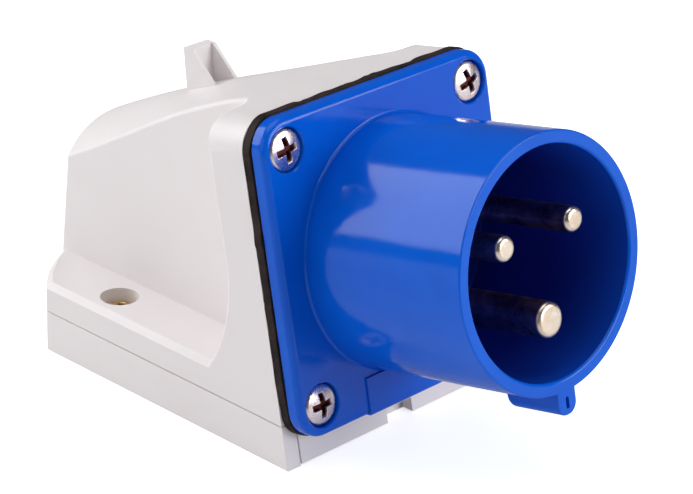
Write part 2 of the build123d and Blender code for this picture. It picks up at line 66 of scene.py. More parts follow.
def turned(azimuth, elevation, roll):
    """Rows are the camera's right, up and back directions for its angles in degrees."""
    a, e, r = np.radians([azimuth, elevation, roll])
    back = np.array([math.sin(a) * math.cos(e), -math.cos(a) * math.cos(e), math.sin(e)])
    right = np.array([math.cos(a), math.sin(a), 0.0])
    up = np.cross(back, right)
    return np.array([right * math.cos(r) + up * math.sin(r), up * math.cos(r) - right * math.sin(r), back])


axes = turned(CAMERA_AZIMUTH, CAMERA_ELEVATION, CAMERA_ROLL)
stand = np.array([-FRAME_SHIFT[0], -FRAME_SHIFT[1], CAMERA_DISTANCE]) @ axes + CENTRE
camera_data = bpy.data.cameras.new("camera")
camera_data.sensor_width = SENSOR
camera_data.lens = SENSOR * FOCAL_PIXELS / FRAME_WIDTH
camera_data.clip_start, camera_data.clip_end = 0.01, 20.0
camera = bpy.data.objects.new("camera", camera_data)
camera.matrix_world = Matrix([[*axes.T[i], stand[i]] for i in range(3)] + [[0, 0, 0, 1]])
scene.collection.objects.link(camera)
scene.camera = camera


def soft_lamp(name, towards, distance, width, height, power):
    """White rectangular lamp at a distance from the flange along a direction, facing the flange."""
    data = bpy.data.lights.new(name, "AREA")
    data.shape = "RECTANGLE"
    data.size, data.size_y, data.energy = width, height, power
    lamp = bpy.data.objects.new(name, data)
    direction = Vector(towards).normalized()
    lamp.location = Vector(CENTRE) + direction * distance
    lamp.rotation_mode = "QUATERNION"
    lamp.rotation_quaternion = direction.to_track_quat("Z", "Y")
    scene.collection.objects.link(lamp)


soft_lamp("lamp_behind_left", (-0.42, 0.80, 0.43), 0.80, 0.62, 0.53, 3.8)
soft_lamp("lamp_left", (-0.90, 0.10, 0.42), 1.10, 0.80, 0.80, 1.5)
soft_lamp("lamp_above", (0.05, 0.10, 1.00), 1.10, 1.00, 1.00, 5.0)
soft_lamp("lamp_front", (0.50, -1.00, 0.42), 1.30, 0.90, 0.60, 11.0)

# The sky's strength as a lamp, where the camera looks at it, and in mirroring surfaces.
SKY_LIGHT, SKY_SEEN, SKY_MIRRORED = 0.20, 1.0, 0.07
world = bpy.data.worlds.new("studio")
scene.world = world
world.use_nodes = True
sky_nodes, sky_links = world.node_tree.nodes, world.node_tree.links
sky_nodes.clear()
sky, sky_out, rays, looked_at, mirrored = (sky_nodes.new(kind) for kind in (
    "ShaderNodeBackground", "ShaderNodeOutputWorld", "ShaderNodeLightPath", "ShaderNodeMath",
    "ShaderNodeMath"))
sky.inputs[0].default_value = (1, 1, 1, 1)
looked_at.operation = mirrored.operation = "MULTIPLY_ADD"
looked_at.inputs[1].default_value = SKY_SEEN - SKY_LIGHT
looked_at.inputs[2].default_value = SKY_LIGHT
mirrored.inputs[1].default_value = SKY_MIRRORED - SKY_LIGHT
sky_links.new(rays.outputs["Is Camera Ray"], looked_at.inputs[0])
sky_links.new(rays.outputs["Is Glossy Ray"], mirrored.inputs[0])
sky_links.new(looked_at.outputs[0], mirrored.inputs[2])
sky_links.new(mirrored.outputs[0], sky.inputs[1])
sky_links.new(sky.outputs[0], sky_out.inputs[0])
scene.view_settings.view_transform = "Standard"


def new_mesh(name, points, faces):
    """Mesh object in the row frame from points in metres and an array of faces."""
    mesh = bpy.data.meshes.new(name)
    mesh.from_pydata(points.reshape(-1, 3).tolist(), [], faces.tolist())
    mesh.validate()
    piece = bpy.data.objects.new(name, mesh)
    scene.collection.objects.link(piece)
    return piece


def material(name, colour, roughness, metallic=0.0):
    """Principled material, its node tree and its shader node; uniform values sit on the shader's sockets."""
    made = bpy.data.materials.new(name)
    made.use_nodes = True
    tree = made.node_tree
    shader = tree.nodes["Principled BSDF"]
    shader.inputs["Base Color"].default_value = (*colour, 1)
    shader.inputs["Roughness"].default_value = roughness
    shader.inputs["Metallic"].default_value = metallic
    return made, tree, shader


def noise(tree, scale, detail=2.0, distortion=0.0):
    """Noise in Object coordinates; scale is in features per metre."""
    place = tree.nodes.new("ShaderNodeTexCoord")
    found = tree.nodes.new("ShaderNodeTexNoise")
    found.inputs["Scale"].default_value = scale
    found.inputs["Detail"].default_value = detail
    found.inputs["Distortion"].default_value = distortion
    tree.links.new(place.outputs["Object"], found.inputs["Vector"])
    return found.outputs["Fac"]


def ranged(tree, value, low, high, from_low=0.3, from_high=0.7):
    """Value stretched from one range to another; the first range is what noise mostly fills."""
    node = tree.nodes.new("ShaderNodeMapRange")
    for k, v in (("From Min", from_low), ("From Max", from_high), ("To Min", low), ("To Max", high)):
        node.inputs[k].default_value = v
    tree.links.new(value, node.inputs["Value"])
    return node.outputs["Result"]


def between(tree, factor, first, second):
    """Colour that runs from the first to the second with a factor; each is plain or a node's output."""
    node = tree.nodes.new("ShaderNodeMix")
    node.data_type = "RGBA"
    tree.links.new(factor, node.inputs["Factor"])
    for end, colour in (("A", first), ("B", second)):
        if isinstance(colour, tuple):
            node.inputs[end].default_value = (*colour, 1)
        else:
            tree.links.new(colour, node.inputs[end])
    return node.outputs["Result"]


def clouded(tree, scale, detail, first, second):
    """Colour that drifts between two with a noise."""
    return between(tree, ranged(tree, noise(tree, scale, detail), 0.0, 1.0), first, second)


FLOOR_HALF, FLOOR_GLOW, FLOOR_DIM, GLOW_NEAR, GLOW_FAR = 3.0, 0.62, 0.25, 0.25, 0.90
floor_material, tree, shader = material("pale_floor", (0.93, 0.93, 0.93), 0.55)
tree.links.new(clouded(tree, 6.0, 2.0, (0.92, 0.92, 0.92), (0.94, 0.94, 0.94)), shader.inputs["Base Color"])
# The floor glows where the camera sees it, up to white at GLOW_FAR, and is dimmer in mirroring surfaces.
glow, glowing, rays, seen, dimmed, mixed, place, away = (tree.nodes.new(kind) for kind in (
    "ShaderNodeEmission", "ShaderNodeAddShader", "ShaderNodeLightPath", "ShaderNodeMath", "ShaderNodeMath",
    "ShaderNodeMixShader", "ShaderNodeTexCoord", "ShaderNodeVectorMath"))
seen.operation = dimmed.operation = "MULTIPLY"
away.operation = "LENGTH"
tree.links.new(place.outputs["Object"], away.inputs[0])
tree.links.new(rays.outputs["Is Camera Ray"], seen.inputs[0])
tree.links.new(ranged(tree, away.outputs["Value"], FLOOR_GLOW, 1.0, GLOW_NEAR, GLOW_FAR), seen.inputs[1])
tree.links.new(rays.outputs["Is Glossy Ray"], dimmed.inputs[0])
dimmed.inputs[1].default_value = FLOOR_DIM
tree.links.new(seen.outputs[0], glow.inputs["Strength"])
tree.links.new(shader.outputs[0], glowing.inputs[0])
tree.links.new(glow.outputs[0], glowing.inputs[1])
tree.links.new(dimmed.outputs[0], mixed.inputs[0])
tree.links.new(glowing.outputs[0], mixed.inputs[1])
tree.links.new(mixed.outputs[0], tree.nodes["Material Output"].inputs["Surface"])
floor_corners = FLOOR_HALF * np.array([[-1, -1, 0], [1, -1, 0], [1, 1, 0], [-1, 1, 0]])
floor = new_mesh("floor", floor_corners, np.array([[0, 1, 2, 3]]))
floor.data.materials.append(floor_material)

# Box: cover and base are injection moulded in off-white thermoplastic, with a fine satin grain.
# Two brass screws in the side ledges hold the cover to the base.
WELD_GAP, FLAT_ANGLE, COPY_CREASE, SOFT_EDGE = 0.002, 0.4, 30.0, 0.22


def roughened(tree, shader, scale, detail, low, high):
    """Roughness that drifts between two values with a noise."""
    tree.links.new(ranged(tree, noise(tree, scale, detail), low, high), shader.inputs["Roughness"])


def bumped(tree, shader, height, distance, under=None):
    """Bump from a height value, in metres, laid over an earlier bump."""
    node = tree.nodes.new("ShaderNodeBump")
    node.inputs["Distance"].default_value = distance
    tree.links.new(height, node.inputs["Height"])
    if under is not None:
        tree.links.new(under, node.inputs["Normal"])
    tree.links.new(node.outputs["Normal"], shader.inputs["Normal"])
    return node.outputs["Normal"]


def shade(piece, crease=35.0):
    """Smooth faces with sharp edges above an angle in degrees, weighted by area so that flats stay flat."""
    piece.data.shade_smooth()
    piece.data.set_sharp_from_angle(angle=math.radians(crease))
    even = piece.modifiers.new("even shading", "WEIGHTED_NORMAL")
    even.weight, even.keep_sharp = 100, True


def dress(piece, finish, slot, *nodes):
    """Gives a piece its finish, seats it on the body and lets it stand for its CAD nodes."""
    piece.data.materials.clear()
    piece.data.materials.append(finish)
    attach(piece, "root")
    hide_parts(*nodes)


def smooth_copy(node, name, finish, slot, edge=0.0):
    """Welded copy of a CAD node that stands for it, smoothly shaded; its edges may get a small bevel."""
    piece = bpy.data.objects.new(name, frame["nodes"][node].data.copy())
    scene.collection.objects.link(piece)
    work = bmesh.new()
    work.from_mesh(piece.data)
    bmesh.ops.remove_doubles(work, verts=work.verts, dist=WELD_GAP * MM)
    bmesh.ops.dissolve_limit(work, angle_limit=math.radians(FLAT_ANGLE), verts=work.verts, edges=work.edges)
    work.to_mesh(piece.data)
    work.free()
    if edge:
        bevel = piece.modifiers.new("softened edges", "BEVEL")
        bevel.width, bevel.segments, bevel.limit_method = edge * MM, 2, "ANGLE"
        bevel.angle_limit, bevel.use_clamp_overlap = math.radians(COPY_CREASE), True
    shade(piece, COPY_CREASE)
    dress(piece, finish, slot, node)


box_plastic, tree, shader = material("off_white_moulding", (0.80, 0.77, 0.77), 0.42)
tree.links.new(clouded(tree, 22.0, 3.0, (0.81, 0.765, 0.772), (0.84, 0.80, 0.805)),
               shader.inputs["Base Color"])
roughened(tree, shader, 300.0, 4.0, 0.36, 0.50)
wave = bumped(tree, shader, noise(tree, 45.0, 1.0), 0.00012)
bumped(tree, shader, noise(tree, 3800.0), 0.00004, wave)
smooth_copy("cover", "box_cover", box_plastic, "box_plastic", SOFT_EDGE)
smooth_copy("base", "box_base", box_plastic, "box_plastic", SOFT_EDGE)

# Inlet: one glossy blue moulding of polyamide, held on the box by four screws through its flange.
# Shroud, floor and rear skirt are turned shapes, the flange is a plate with rounded corners and edges
# and four counterbores, and the pad and the lug below the shroud are bars with softened ends.
SHROUD_OUTER, SHROUD_INNER, RIM_OUTER_ROUND, RIM_INNER_ROUND, ROOT_ROUND = 24.6, 22.0, 0.3, 0.6, 0.5
FLOOR_FRONT, FLOOR_BACK, FLOOR_ROUND, ROOT_FOOT = 1.5, -3.0, 0.5, -0.2
SKIRT_OUTER, SKIRT_INNER, SKIRT_BACK, SKIRT_EDGE = 22.3, 20.3, -12.5, 0.3
CONTACTS = {"line": (9.526, 5.5, 2.5), "neutral": (-9.526, 5.5, 2.5), "earth": (0.0, -11.0, 3.5)}
PIN_ROOT, PIN_DRILL_OUT = 0.45, 4.0
CARRIER_SCREW_X, CARRIER_SCREW_UP, CARRIER_SCREW_HOLE, CARRIER_DRILL_OUT = 12.99, -7.5, 1.6, 0.3
DRILL_BACK, TINY_TURN = -9.0, 0.01
# Inside the shroud the blue is darkened on the way in, as painted shade of the cavity: the darkening starts a
# given distance past the rim and is full after a given run.
SHADE_PAST_RIM, SHADE_RUN, SHADE_MARGIN = 6.0, 12.0, (0.02, 0.1)
MERGE_GAP, THIN_GAP = 0.0005, 0.0004


def marked(tree, name):
    """Value from 0 to 1 that a piece's vertices carry under a name."""
    node = tree.nodes.new("ShaderNodeAttribute")
    node.attribute_name = name
    return node.outputs["Fac"]


blue_plastic, tree, shader = material("glossy_blue_moulding", (0.001, 0.102, 0.64), 0.10)
shader.inputs["Specular IOR Level"].default_value = 0.26
open_blue = clouded(tree, 60.0, 3.0, (0.0008, 0.092, 0.60), (0.0015, 0.112, 0.68))
# Where the "inside" mark is high the blue goes over to a dark navy: painted shade inside the shroud.
tree.links.new(between(tree, marked(tree, "inside"), open_blue, (0.009, 0.028, 0.36)),
               shader.inputs["Base Color"])
roughened(tree, shader, 420.0, 5.0, 0.08, 0.14)
flow = bumped(tree, shader, noise(tree, 60.0, 1.0, 0.4), 0.00010)
bumped(tree, shader, noise(tree, 2600.0), 0.000008, flow)


def at_plug(x, up, out):
    """Points in metres from millimetres across, up the flange and out along the plug axis."""
    x, up, out = np.broadcast_arrays(x, up, out)
    return CENTRE + MM * (x[..., None] * ACROSS + up[..., None] * UP + out[..., None] * OUT)


def grid_mesh(name, grid, along=False):
    """Closed skin over a grid of points whose last column joins the first; along joins the last row to the
    first too. Rows that shrink to a point close as poles, and the sign of the volume turns the faces
    outwards."""
    rows, columns = grid.shape[:2]
    i, j = np.meshgrid(np.arange(rows if along else rows - 1), np.arange(columns), indexing="ij")
    i2, j2 = (i + 1) % rows, (j + 1) % columns
    corners = [i * columns + j, i * columns + j2, i2 * columns + j2, i2 * columns + j]
    faces = np.stack(corners, -1).reshape(-1, 4)
    points = grid.reshape(-1, 3)
    a, b, c, d = (points[faces[:, k]] - points.mean(0) for k in range(4))
    volume = (np.einsum("ij,ij->i", a, np.cross(b, c)) + np.einsum("ij,ij->i", a, np.cross(c, d))).sum()
    piece = new_mesh(name, points, faces[:, ::-1] if volume < 0 else faces)
    work = bmesh.new()
    work.from_mesh(piece.data)
    bmesh.ops.remove_doubles(work, verts=work.verts, dist=MERGE_GAP * MM)
    bmesh.ops.dissolve_degenerate(work, edges=work.edges, dist=THIN_GAP * MM)
    work.to_mesh(piece.data)
    work.free()
    return piece


def rounded(corners, steps=7):
    """Path through corners given as (a, b, radius): each is an arc of that radius, tangent to both runs."""
    corners = np.array(corners, float)
    path = []
    for k, (a, b, radius) in enumerate(corners):
        here = np.array([a, b])
        if radius == 0 or k in (0, len(corners) - 1):
            path.append(here)
            continue
        to, fro = corners[k - 1, :2] - here, corners[k + 1, :2] - here
        to, fro = to / np.linalg.norm(to), fro / np.linalg.norm(fro)
        half = math.acos(np.clip(to @ fro, -1, 1)) / 2
        middle = here + (to + fro) / np.linalg.norm(to + fro) * radius / math.sin(half)
        start = here + to * radius / math.tan(half) - middle
        stop = here + fro * radius / math.tan(half) - middle
        t = np.linspace(0, 1, steps)[:, None]
        arc = start * (1 - t) + stop * t
        path.extend(middle + arc / np.linalg.norm(arc, axis=1)[:, None] * radius)
    return np.array(path)


def turned_skin(name, path, x=0.0, up=0.0, steps=128, start=0.0, along=False):
    """Turned shape: a path of (radius, out) carried round the plug direction at a place on the flange."""
    angles = np.linspace(start, 2 * np.pi + start, steps, endpoint=False)
    r, out = path[:, 0][:, None], path[:, 1][:, None]
    return grid_mesh(name, at_plug(x + r * np.cos(angles), up + r * np.sin(angles), out), along)


def peg(radius, low, high, x, up, steps=128, start=0.0):
    """Plain cylinder along the plug direction, to drill with."""
    path = rounded([(0, low, 0), (radius, low, 0), (radius, high, 0), (0, high, 0)])
    return turned_skin("peg", path, x, up, steps, start)


def drill(piece, *cutters):
    """Takes the cutters' volumes out of a piece, exactly, as one set of shells, and removes the cutters."""
    tool = cutters[0]
    work = bmesh.new()
    for cutter in cutters:
        work.from_mesh(cutter.data)
    work.to_mesh(tool.data)
    work.free()
    step = piece.modifiers.new("holes", "BOOLEAN")
    step.operation, step.solver, step.object = "DIFFERENCE", "EXACT", tool
    finished = bpy.data.meshes.new_from_object(piece.evaluated_get(bpy.context.evaluated_depsgraph_get()))
    piece.modifiers.clear()
    piece.data = finished
    for cutter in cutters:
        bpy.data.objects.remove(cutter)


def places_from(piece, origin):
    """Each vertex's place from an origin, in millimetres."""
    places = np.empty(3 * len(piece.data.vertices))
    piece.data.vertices.foreach_get("co", places)
    return (places.reshape(-1, 3) - origin) / MM


def mark(piece, name, values):
    """Keeps a value for each vertex under a name, for the material to read."""
    piece.data.attributes.new(name, "FLOAT", "POINT").data.foreach_set("value", values)


outside = rounded([(SKIRT_INNER, SKIRT_BACK, 0), (SKIRT_OUTER, SKIRT_BACK, SKIRT_EDGE),
                   (SKIRT_OUTER, FLOOR_BACK, 0), (SHROUD_OUTER + ROOT_ROUND, FLOOR_BACK, 0),
                   (SHROUD_OUTER + ROOT_ROUND, ROOT_FOOT, 0)])
turn = np.linspace(0, np.pi / 2, 7)
root = np.stack([SHROUD_OUTER + ROOT_ROUND * (1 - np.sin(turn)), ROOT_ROUND * (1 - np.cos(turn))], 1)
rim = rounded([(SHROUD_OUTER, ROOT_ROUND, 0), (SHROUD_OUTER, SHROUD_LENGTH, RIM_OUTER_ROUND),
               (SHROUD_INNER, SHROUD_LENGTH, RIM_INNER_ROUND), (SHROUD_INNER, SHROUD_LENGTH / 2, 0)], 9)
inside = rounded([(SHROUD_INNER, SHROUD_LENGTH / 2, 0), (SHROUD_INNER, FLOOR_FRONT, FLOOR_ROUND),
                  (0, FLOOR_FRONT, 0)])
behind = rounded([(0, FLOOR_BACK, 0), (SKIRT_INNER, FLOOR_BACK, FLOOR_ROUND), (SKIRT_INNER, SKIRT_BACK, 0)])
shroud_path = np.concatenate([outside, root, rim, inside, behind])
shroud = turned_skin("inlet_shroud", shroud_path, steps=288, along=True)
holes = [peg(radius + PIN_ROOT, DRILL_BACK, PIN_DRILL_OUT, x, up) for x, up, radius in CONTACTS.values()]
holes += [peg(CARRIER_SCREW_HOLE, DRILL_BACK, CARRIER_DRILL_OUT, x, CARRIER_SCREW_UP)
          for x in (-CARRIER_SCREW_X, CARRIER_SCREW_X)]
drill(shroud, *holes)
places = places_from(shroud, CENTRE)
radius, out = np.hypot(places @ ACROSS, places @ UP), places @ OUT
# Painted shade of the cavity: darker from past the rim inwards, on the shroud's inner wall and floor.
deep = np.clip((SHROUD_LENGTH + SHADE_PAST_RIM - out) / SHADE_RUN, 0, 1)
within = (radius < SHROUD_INNER + SHADE_MARGIN[0]) * (out > FLOOR_FRONT - SHADE_MARGIN[1])
mark(shroud, "inside", deep * within)
shade(shroud)
dress(shroud, blue_plastic, "blue_plastic", "inlet_body")

FLANGE_HALF_X, FLANGE_HALF_UP, FLANGE_THICK, FLANGE_CORNER, FLANGE_EDGE = 30.7, 31.0, 3.5, 6.0, 1.4
FLANGE_HOLE, FLANGE_BACK_INSET, FLANGE_BACK_RISE = SHROUD_OUTER - 1.0, 0.3, 0.25
SCREW_X, SCREW_UP, COUNTERBORE, SINK, SCREW_HOLE = 24.85, 24.85, 4.3, 1.6, 2.25
SCREW_PLACES = [(x, up) for x in (-SCREW_X, SCREW_X) for up in (-SCREW_UP, SCREW_UP)]
BORE_FLOOR_ROUND, BORE_LIP, BORE_CLEAR, BORE_FLARE, BORE_BACK = 0.2, 0.24, 0.02, 0.3, -5.0
around_plate = np.linspace(0, 2 * np.pi, 720, endpoint=False)


def plate_reach(inset):
    """Distance from the centre to the flange's outline, less an inset, in each direction round the plate:
    the straight side that the ray meets first, or the corner's circle where the ray leaves beyond the
    straight run."""
    c, s = np.abs(np.cos(around_plate)), np.abs(np.sin(around_plate))
    half_x, half_up, corner = FLANGE_HALF_X - inset, FLANGE_HALF_UP - inset, FLANGE_CORNER - inset
    side = np.minimum(half_x / np.maximum(c, 1e-9), half_up / np.maximum(s, 1e-9))
    cx, cy = half_x - corner, half_up - corner
    in_corner = (side * c > cx) & (side * s > cy)
    reach = cx * c + cy * s + np.sqrt(np.maximum(corner**2 - (cx * s - cy * c) ** 2, 0))
    return np.where(in_corner, reach, side)


def plate_row(reach, out):
    """Ring of points round the plug axis, at a distance that may change with the direction."""
    return at_plug(reach * np.cos(around_plate), reach * np.sin(around_plate), out)


flange_rows = [plate_row(FLANGE_HOLE, -FLANGE_THICK),
               plate_row(plate_reach(FLANGE_BACK_INSET), -FLANGE_THICK),
               plate_row(plate_reach(0.0), FLANGE_BACK_RISE - FLANGE_THICK)]
flange_rows += [plate_row(plate_reach(FLANGE_EDGE * (1 - math.cos(t))), FLANGE_EDGE * (math.sin(t) - 1))
                for t in np.linspace(0, np.pi / 2, 9)]
flange_rows.append(plate_row(FLANGE_HOLE, 0.0))
flange = grid_mesh("inlet_flange", np.array(flange_rows), along=True)
bore = rounded([(0, BORE_BACK, 0), (SCREW_HOLE, BORE_BACK, 0), (SCREW_HOLE, -SINK, 0),
                (COUNTERBORE, -SINK, BORE_FLOOR_ROUND), (COUNTERBORE, BORE_CLEAR - BORE_LIP, 0),
                (COUNTERBORE + BORE_LIP, BORE_CLEAR, 0), (COUNTERBORE + BORE_FLARE, 1, 0), (0, 1, 0)])
drill(flange, *[turned_skin("bore", bore, x, up, 96, TINY_TURN) for x, up in SCREW_PLACES])
shade(flange)
dress(flange, blue_plastic, "blue_plastic", "inlet_body")


def soft_bar(name, section, stations, place):
    """Bar whose section changes on its way: section(*shape) is a closed path, carried through the stations
    given as (distance along, *shape), and each end closes to a point in the middle of its last section."""
    rows = []
    for along, *shape in stations:
        path = section(*shape)
        rows.append(place(path[:, 0], path[:, 1], along))
    first, last = (np.repeat(row.mean(0, keepdims=True), len(row), 0) for row in (rows[0], rows[-1]))
    return grid_mesh(name, np.array([first] + rows + [last]))


def eased(low, high, edge, steps=5):
    """Stations from low to high whose first and last stretch follow a quarter circle of the edge's radius."""
    t = np.linspace(0, np.pi / 2, steps)
    start = [(low + edge * (1 - math.cos(a)), edge * (1 - math.sin(a))) for a in t]
    return start + [(low + high - a, inset) for a, inset in reversed(start)]


PAD_HALF, PAD_STEP, PAD_EDGE, PAD_BACK, PAD_TOP, PAD_SEAM = 13.2, 0.45, 0.2, -2.5, -23.5, -26.0


def pad_section(inset):
    """Closed side view of the pad, from inside the shroud's wall to the plate's lower edge."""
    top, foot, back = PAD_STEP - inset, -FLANGE_HALF_UP + inset, PAD_BACK + inset
    return rounded([(PAD_TOP, back, 0), (PAD_TOP, top, 0), (foot, top, PAD_STEP), (foot, back, 0),
                    (PAD_SEAM, back, 0)])


pad = soft_bar("inlet_pad", pad_section, eased(-PAD_HALF, PAD_HALF, PAD_EDGE),
               lambda up, out, x: at_plug(x, up, out))
shade(pad)
dress(pad, blue_plastic, "blue_plastic", "inlet_body")

LUG_HALF, LUG_HEIGHT, LUG_LENGTH, LUG_TAIL, LUG_ROUND, LUG_TOP = 2.5, 4.6, 12.6, 0.8, 2.2, -24.3
LUG_SEAM, LUG_FLAT = 0.3, 0.2
LUG_EDGE = ((0.3, 0.0), (0.1, 0.08), (0.0, 0.3))
LUG_SLOT_HALF, LUG_SLOT_HEIGHT, LUG_SLOT_DEEP = 0.45, 2.4, 1.2


def lug_section(height, inset):
    """Closed front view of the lug, from inside the shroud's wall down to its round foot."""
    half, foot = LUG_HALF - inset, -SHROUD_OUTER - height + inset
    corner = min(LUG_ROUND, half - LUG_FLAT)
    return rounded([(half - LUG_SEAM, LUG_TOP, 0), (half, LUG_TOP, 0), (half, foot, corner),
                    (-half, foot, corner), (-half, LUG_TOP, 0), (LUG_SEAM - half, LUG_TOP, 0)])


# The lug's lower edge rises to the tail as a quarter circle, and a small edge is taken off at the mouth.
turn = np.linspace(0, np.pi / 2, 7)
tail = SHROUD_LENGTH - LUG_LENGTH
lug_stations = [(tail + LUG_TAIL * (1 - math.cos(a)), LUG_HEIGHT - LUG_TAIL * (1 - math.sin(a)), 0.0)
                for a in turn]
lug_stations += [(SHROUD_LENGTH - before, LUG_HEIGHT, inset) for before, inset in LUG_EDGE]
lug = soft_bar("inlet_lug", lug_section, lug_stations, at_plug)
turn = np.linspace(0, 2 * np.pi, 24, endpoint=False)
slot_run = LUG_SLOT_HEIGHT / 2 - LUG_SLOT_HALF
slot_middle = LUG_SLOT_HEIGHT - SHROUD_OUTER - LUG_HEIGHT
slot_up = slot_middle + LUG_SLOT_HALF * np.sin(turn) + slot_run * np.sign(np.sin(turn + TINY_TURN))
slot_path = np.stack([LUG_SLOT_HALF * np.cos(turn), slot_up], 1)
slot_stations = [(SHROUD_LENGTH - LUG_SLOT_DEEP,), (SHROUD_LENGTH + 1,)]
drill(lug, soft_bar("slot", lambda: slot_path, slot_stations, at_plug))
shade(lug)
dress(lug, blue_plastic, "blue_plastic", "inlet_body")

# Gasket: a sheet of brown-black rubber, punched out with small nicks and swells along its edge.
# The four flange screws press it between flange and box, and it stands a little proud of both.
GASKET_THICK, GASKET_PROUD, GASKET_HOLE, GASKET_BEVEL, GASKET_DRILL = 2.0, 0.4, 22.6, 0.12, (-7, -2)
NICK_DEPTH, NICK_FROM, NICK_FULL, NICK_REPEAT, NICK_WAVES = 0.5, 0.35, 0.8, 7, (3, 5, 8, 13, 21)
SWELL, SWELL_WAVES = 0.16, ((9, 1.0), (17, 2.5), (31, 0.0))
gasket_rubber, tree, shader = material("gasket_rubber", (0.022, 0.015, 0.013), 0.62)
shader.inputs["Specular IOR Level"].default_value = 0.15
tree.links.new(clouded(tree, 260.0, 4.0, (0.008, 0.005, 0.005), (0.038, 0.023, 0.021)),
               shader.inputs["Base Color"])
bumped(tree, shader, noise(tree, 1800.0, 3.0), 0.00012)

ripple = sum(np.sin(k * around_plate * NICK_REPEAT + k * k) / k for k in NICK_WAVES)
swell = SWELL * (sum(np.sin(k * around_plate + start) for k, start in SWELL_WAVES) - 1) / 2
nicks = NICK_DEPTH * np.clip(ripple - NICK_FROM, 0, NICK_FULL) - swell
back = -FLANGE_THICK - GASKET_THICK
gasket_edge = ((GASKET_BEVEL, 0.0), (0.0, GASKET_BEVEL), (0.0, GASKET_THICK - GASKET_BEVEL),
               (GASKET_BEVEL, GASKET_THICK))
gasket_rows = [plate_row(plate_reach(inset - GASKET_PROUD) - nicks, back + out)
               for inset, out in gasket_edge]
gasket_rows = [plate_row(GASKET_HOLE, back)] + gasket_rows + [plate_row(GASKET_HOLE, -FLANGE_THICK)]
gasket = grid_mesh("rubber_gasket", np.array(gasket_rows), along=True)
drill(gasket, *[peg(SCREW_HOLE, *GASKET_DRILL, x, up, 48, TINY_TURN) for x, up in SCREW_PLACES])
shade(gasket)
dress(gasket, gasket_rubber, "gasket_rubber", "flange_gasket")

# Screws: pan heads with a pressed cross, rolled threads. Nickel plated steel in the flange,
# plain brass in the deep counterbores of the ledges.
CROSS_HALF, CROSS_REACH, CROSS_DEEP, CROSS_FLANK, CROSS_RUN_OUT = 0.66, 2.55, 1.15, 0.14, 0.9
CROSS_FIELD, CROSS_RINGS, HEAD_EDGE, HEAD_SEAT, EDGE_FROM, EDGE_FULLNESS = 2.95, 44, 0.55, 0.08, 0.25, 0.7
THREAD_PITCH, THREAD_DEEP, THREAD_STEP, THREAD_FROM, SCREW_POINT = 0.8, 0.32, 0.07, 0.3, 1.2
# The painted shade in a screw's cross fills over the first given depth below the dome, within the given reach
# of the middle.
RECESS_SHADE_DEPTH, RECESS_SHADE_REACH, SCREW_CREASE = 0.5, 2.9, 50.0
# Each screw is given as head radius, shank radius and length. A ledge screw's head starts at LEDGE_SEAT below
# its solid's top, and its dome is LEDGE_DOME high.
FLANGE_SCREW, LEDGE_SCREW = (4.08, 1.95, 12.0), (3.6, 2.0, 7.6)
LEDGE_SEAT, LEDGE_DOME, LEDGE_TURN = 1.8, 2.5, 0.6


def pan_screw(name, seat, head, shank, length, turn, drop=0.75, height=1.8):
    """Screw on a grid of angle and path, on a seat given as (origin, across, along, outwards). Head: a dome
    that falls with the square of the radius, with a rounded edge, less a cross whose arms are deep at the
    middle and run out towards their ends. Shank: a radius that rises and falls with turn and depth, as a
    thread does. A mark of painted shade is 1 where the cross is deep."""
    angles = np.linspace(0, 2 * np.pi, 176, endpoint=False)
    edge_start = head - HEAD_EDGE
    r_top = np.concatenate([np.linspace(0, CROSS_FIELD, CROSS_RINGS), np.linspace(3.0, edge_start, 5)])
    dome = height - drop * (r_top / head) ** 2
    edge_turn = np.linspace(EDGE_FROM, np.pi / 2, 7)
    edge_radius = edge_start + HEAD_EDGE * np.sin(edge_turn)
    edge_height = (dome[-1] - HEAD_SEAT) * np.cos(edge_turn) ** EDGE_FULLNESS
    thread_rings = int((length - (THREAD_FROM + SCREW_POINT)) / THREAD_STEP)
    depth = np.linspace(THREAD_FROM, length - SCREW_POINT, thread_rings)
    r = np.concatenate([r_top, edge_radius, [shank], shank + 0 * depth, [shank * 0.75, 0]])
    z = np.concatenate([dome, edge_height, [0.0], -depth, [0.5 - length, -length]])
    r, z = r[:, None] + 0 * angles, z[:, None] + 0 * angles
    first = len(r_top) + len(edge_radius) + 1
    wave = np.abs((depth[:, None] / THREAD_PITCH + angles / (2 * np.pi)) % 1.0 * 2 - 1)
    r[first:first + len(depth)] -= THREAD_DEEP * np.clip(wave * 1.4 - 0.3, 0, 1)
    x, y = r[:CROSS_RINGS] * np.cos(angles), r[:CROSS_RINGS] * np.sin(angles)
    for along, beside in ((x, y), (y, x)):
        arm = np.clip((CROSS_HALF - np.abs(beside)) / CROSS_FLANK, 0, 1)
        arm *= np.clip((CROSS_REACH - np.abs(along)) / CROSS_RUN_OUT, 0, 1)
        z[:CROSS_RINGS] = np.minimum(z[:CROSS_RINGS], dome[:CROSS_RINGS, None] - CROSS_DEEP * arm)
    x, y = r * np.cos(angles + turn), r * np.sin(angles + turn)
    origin, across, along, outwards = seat
    points = x[..., None] * across + y[..., None] * along + z[..., None] * outwards
    piece = grid_mesh(name, origin + MM * points)
    places = places_from(piece, origin)
    wide = np.hypot(places @ across, places @ along)
    # Painted shade in the cross: darker the further the recess lies below the dome.
    sunk = np.clip((height - drop * (wide / head) ** 2 - places @ outwards) / RECESS_SHADE_DEPTH, 0, 1)
    mark(piece, "recess_shade", sunk * (wide < RECESS_SHADE_REACH))
    shade(piece, SCREW_CREASE)
    return piece


